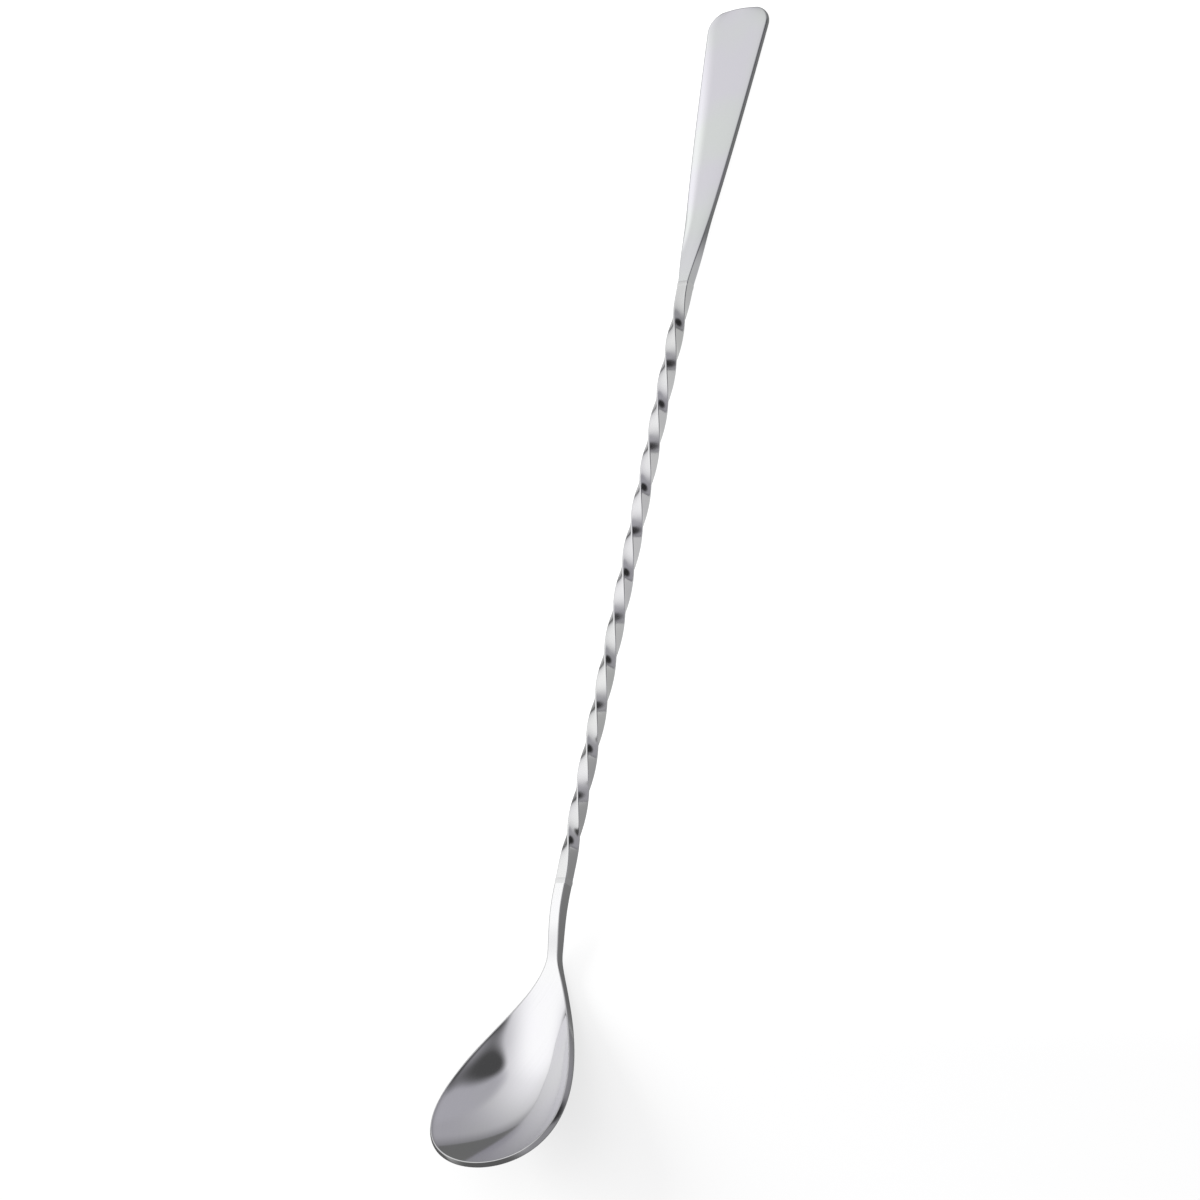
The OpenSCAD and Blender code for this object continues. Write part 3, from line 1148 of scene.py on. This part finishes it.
@dataclass(frozen=True)
class MirrorCard:
    """Oval glowing card with a soft edge, which only the polished steel sees: a painted reflection that
    lights nothing.

    Attributes:
        name: Name of the card.
        place: Its middle.
        facing: Direction that it faces.
        along: Direction of its longer axis.
        half: Half lengths of its two axes, out to the end of its soft edge.
        core: Share of the half lengths inside the soft edge.
        radiance: Radiance inside the soft edge.
    """

    name: str
    place: Triple
    facing: Triple
    along: Triple
    half: Span
    core: float
    radiance: float

    def build(self) -> None:
        """Make the card, hidden from every ray but mirror rays."""
        data = plate(self.name, self.half, 0.0)
        data.materials.append(self.material())
        card = linked(self.name, data)
        card.matrix_world = Matrix.Translation(self.place) @ self.turn()
        for ray in ("camera", "diffuse", "shadow", "transmission", "volume_scatter"):
            setattr(card, f"visible_{ray}", False)

    def turn(self) -> Matrix:
        """Turn that faces the card its way, with its first axis along its line."""
        normal = Vector(self.facing).normalized()
        side = normal.cross(Vector(self.along)).normalized()
        return Matrix((side.cross(normal), side, normal)).transposed().to_4x4()

    def material(self) -> bpy.types.Material:
        """Even glowing card with a soft oval edge, a painted reflection."""
        material, graph = Graph.of_material(self.name)
        material.cycles.emission_sampling = "NONE"
        place = graph.add("ShaderNodeTexCoord").outputs["Object"]
        oval = graph.stretch(place, (1.0 / self.half[0], 1.0 / self.half[1], 1.0))
        share = graph.ramp(graph.measure("LENGTH", oval), self.core, 1.0, 1.0, 0.0)
        clear = graph.add("ShaderNodeBsdfTransparent").outputs[0]
        graph.show(graph.cover(share, clear, graph.glow(self.radiance)))
        return material


@dataclass
class Studio:
    """Pale floor, soft light and the camera, none of it part of the spoon.

    Attributes:
        floor_half: Half size of the floor.
        floor_gap: Gap between the floor and the spoon's lowest point.
        floor_albedo: Colour of the floor.
        floor_lift: Lift that makes the floor white to the camera, beside the stem and beside the bowl.
        lift_run: Along the spoon, where the stem's lift ends and the bowl's starts.
        mirror_left: Painted radiance of the floor that the steel mirrors, to the left of the spoon.
        mirror_right: The same to the right, beside the handle, the stem and the bowl.
        mirror_side: Across the spoon, where the left ends and the right starts.
        mirror_start: Along the spoon, where the handle's part ends and the stem's starts.
        mirror_run: Along the spoon, where the stem's part ends and the bowl's starts.
        belly: Place where the bowl's belly rests on the floor.
        belly_shade: Tone of the painted shadow on the mirrored floor there, and how far it reaches.
        wall: Radiance of the studio's walls.
        horizon: Heights between which the walls darken towards the floor, and how dark they get.
        second_tone: Painted shade: tone of the walls where they are mirrored twice.
        cards: Soft lights and darker areas on the walls.
        near: Painted reflections, cards above the spoon that glow only for the steel: a dark one, well clear
            of the bowl, and a white one left of the handle.
        key_from: Place of the key lamp.
        key_size: Diameter of the key lamp.
        key_power: Power of the key lamp.
        eye: Place of the camera.
        ahead: Direction of its view.
        picture_down: Direction of the picture's lower edge.
        lens: Focal length of the camera.
        sensor: Width of its sensor.
        clip: Nearest and furthest distance that it sees.
    """

    floor_half: float = 3.0
    floor_gap: float = 0.00005
    floor_albedo: float = 0.28
    floor_lift: Span = (0.92, 0.74)
    lift_run: Span = (0.045, 0.090)
    mirror_left: float = 0.155
    mirror_right: Triple = (0.25, 0.66, 0.28)
    mirror_side: Span = (-0.030, -0.004)
    mirror_start: Span = (-0.066, -0.058)
    mirror_run: Span = (-0.010, 0.075)
    belly: Triple = (0.0925, 0.0, 0.0)
    belly_shade: Span = (0.35, 0.024)
    wall: Colour = (0.40, 0.395, 0.42, 1.0)
    horizon: Triple = (-0.075, 0.19, 0.50)
    second_tone: float = 0.79
    cards: tuple[StudioCard, ...] = (
        StudioCard((0.20, -0.58, 0.79), 14.0, 88.0, grey(1.13)),
        StudioCard((-0.72, 0.40, 0.57), 14.0, 28.0, (0.43, 0.425, 0.455, 1.0)),
        StudioCard((-0.52, 0.77, 0.37), 9.0, 19.0, grey(0.03)),
        StudioCard((0.897, -0.269, 0.349), 25.0, 60.0, grey(0.16)),
    )
    # Painted reflections: glowing cards that only the steel sees and that light nothing.
    near: tuple[MirrorCard, ...] = (
        MirrorCard(
            "dark_card",
            place=(0.0552, 0.0592, 0.0984),
            facing=(0.202, -0.663, -0.721),
            along=(-0.703, -0.611, 0.365),
            half=(0.054, 0.0285),
            core=0.44,
            radiance=0.07,
        ),
        MirrorCard(
            "white_card",
            place=(-0.105, -0.0275, 0.015),
            facing=(0.0, 0.0, -1.0),
            along=(0.988, 0.154, 0.0),
            half=(0.045, 0.0123),
            core=0.45,
            radiance=1.40,
        ),
    )
    key_from: Triple = (-0.15, -0.85, 0.33)
    key_size: float = 0.50
    key_power: float = 9.0
    eye: Triple = (0.19259, 0.29411, 0.40200)
    ahead: Triple = (-0.34495, -0.56213, -0.75168)
    picture_down: Triple = (0.92109, -0.04865, -0.38631)
    lens: float = 90.0
    sensor: float = 36.0
    clip: Span = (0.01, 20.0)

    def build(self) -> None:
        """Make the whole studio."""
        self.build_camera()
        self.build_floor()
        self.build_key()
        self.build_world()
        for card in self.near:
            card.build()

    def build_camera(self) -> None:
        """Camera at the photograph's viewing angle."""
        data = bpy.data.cameras.new("photo_camera")
        data.lens, data.sensor_width = self.lens, self.sensor
        data.clip_start, data.clip_end = self.clip
        camera = linked("photo_camera", data)
        back = -Vector(self.ahead).normalized()
        right = Vector(self.picture_down).cross(-back).normalized()
        up = back.cross(right)
        turn = Matrix((right, up, back)).transposed().to_4x4()
        camera.matrix_world = Matrix.Translation(self.eye) @ turn
        bpy.context.scene.camera = camera

    def build_floor(self) -> None:
        """Wide pale floor that keeps the spoon's shadow and is white elsewhere."""
        data = plate("pale_floor", (self.floor_half, self.floor_half), -self.floor_gap)
        data.materials.append(self.floor_material())
        linked("pale_floor", data)

    def floor_material(self) -> bpy.types.Material:
        """Matt pale floor, white to the camera, and for the steel a painted reflection: a glowing table of
        painted light and shade.
        """
        material, graph = Graph.of_material("pale_floor")
        material.cycles.emission_sampling = "NONE"
        path = graph.add("ShaderNodeLightPath").outputs
        place = graph.add("ShaderNodeTexCoord").outputs["Object"]
        matt = graph.add("ShaderNodeBsdfDiffuse", {"Color": grey(self.floor_albedo)}).outputs[0]
        seen = graph.math("MAXIMUM", path[RayKind.CAMERA.value], path[RayKind.TRANSMISSION.value])
        lift = graph.ramp(graph.axis(place, "X"), *self.lift_run, *self.floor_lift)
        glow = graph.glow(graph.math("MULTIPLY", seen, lift))
        white = graph.add("ShaderNodeAddShader", {0: matt, 1: glow}).outputs[0]
        # Painted reflection: mirror rays see this glowing table in place of the lit floor.
        table = graph.glow(self.mirrored_floor(graph, place))
        graph.show(graph.cover(path[RayKind.GLOSSY.value], white, table))
        return material

    def mirrored_floor(self, graph: Graph, place: Socket) -> Socket:
        """Painted radiance of the table in the steel.

        Args:
            graph: The floor's node tree.
            place: Place on the floor.

        Returns:
            Dark on the left, pale on the right beside the stem, darker beside the handle and the bowl, and a
            painted shadow where the bowl's belly rests.
        """
        along = graph.axis(place, "X")
        handle, stem, bowl = self.mirror_right
        start = graph.ramp(along, *self.mirror_start, handle / stem, 1.0)
        right = graph.math("MULTIPLY", start, graph.ramp(along, *self.mirror_run, stem, bowl))
        table = graph.ramp(graph.axis(place, "Y"), *self.mirror_side, self.mirror_left, right)
        # Painted shadow under the bowl's belly, seen only in the steel.
        tone, radius = self.belly_shade
        shade = graph.ramp(graph.measure("DISTANCE", place, self.belly), 0.0, radius, tone, 1.0)
        return graph.math("MULTIPLY", table, shade)

    def build_key(self) -> None:
        """Large soft lamp to the left of the picture."""
        data = bpy.data.lights.new("key_lamp", "AREA")
        data.shape, data.size, data.energy = "DISK", self.key_size, self.key_power
        lamp = linked("key_lamp", data)
        lamp.location = self.key_from
        lamp.rotation_euler = (-Vector(self.key_from)).to_track_quat("-Z", "Y").to_euler()
        lamp.visible_glossy = False
        lamp.visible_camera = False

    def build_world(self) -> None:
        """Studio walls with their lights and darker areas, white to the camera."""
        world = bpy.data.worlds.new("studio")
        world.use_nodes = True
        bpy.context.scene.world = world
        graph = Graph(world.node_tree)
        look = graph.add("ShaderNodeTexCoord").outputs["Generated"]
        colour: object = self.wall
        for card in self.cards:
            rim, core = (math.cos(math.radians(angle)) for angle in (card.rim, card.core))
            facing = graph.measure("DOT_PRODUCT", look, Vector(card.towards).normalized())
            colour = graph.blend(graph.ramp(facing, rim, core), colour, card.radiance)
        path = graph.add("ShaderNodeLightPath").outputs
        seen = path[RayKind.CAMERA.value]
        low, high, dark = self.horizon
        fade = graph.ramp(graph.axis(look, "Z"), low, high, dark, 1.0)
        # Painted shade: walls seen after two mirror bounces are darkened.
        twice = graph.ramp(path["Glossy Depth"], 1.0, 2.0, 1.0, self.second_tone)
        strength = graph.math("MAXIMUM", graph.math("MULTIPLY", fade, twice), seen)
        white = graph.blend(seen, colour, grey(1.0))
        walls = graph.add("ShaderNodeBackground", {"Color": white, "Strength": strength})
        graph.show(walls.outputs[0], "ShaderNodeOutputWorld")


class Spoon:
    """The whole spoon: its pieces, their rest pose and their finishes."""

    def __init__(self) -> None:
        """Set out the pieces from one bar and one weld."""
        bar, weld = SquareBar(), Weld()
        self.handle = HandleBlade(bar, weld)
        self.stem = TwistedStem(bar, weld, self.handle.length)
        self.bowl = SpoonBowl(bar, weld, self.stem.end_x)
        self.handle_weld = WeldRing(bar, weld, self.handle.length)
        self.bowl_weld = WeldRing(bar, weld, self.stem.end_x)
        self.pose = RestPose.of(self.handle, self.bowl)

    def build(self) -> None:
        """Loft each piece, dress it and stand it for its solid."""
        materials = {slot: finish.material() for slot, finish in FINISHES.items()}
        pieces = (
            ("handle", self.handle, SteelSlot.HANDLE),
            ("handle_weld", self.handle_weld, SteelSlot.WELD),
            ("twisted_stem", self.stem, SteelSlot.STEM),
            ("bowl_weld", self.bowl_weld, SteelSlot.WELD),
            ("spoon_bowl", self.bowl, SteelSlot.BOWL),
        )
        for node, maker, slot in pieces:
            piece = maker.skin().mesh(f"{node}_skin", self.pose.place)
            piece.data.materials.append(materials[slot])
            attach(piece, BODY)
            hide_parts(node)
            counts = len(piece.data.vertices), len(piece.data.polygons)
            LOG.info("%s: %d points, %d faces", piece.name, *counts)


def main() -> None:
    """Build the studio and the spoon, then note the sizes."""
    logging.basicConfig(level=logging.INFO, format="%(name)s: %(message)s")
    bpy.context.scene.view_settings.view_transform = "Standard"
    Studio().build()
    Spoon().build()


if __name__ == "__main__":
    main()
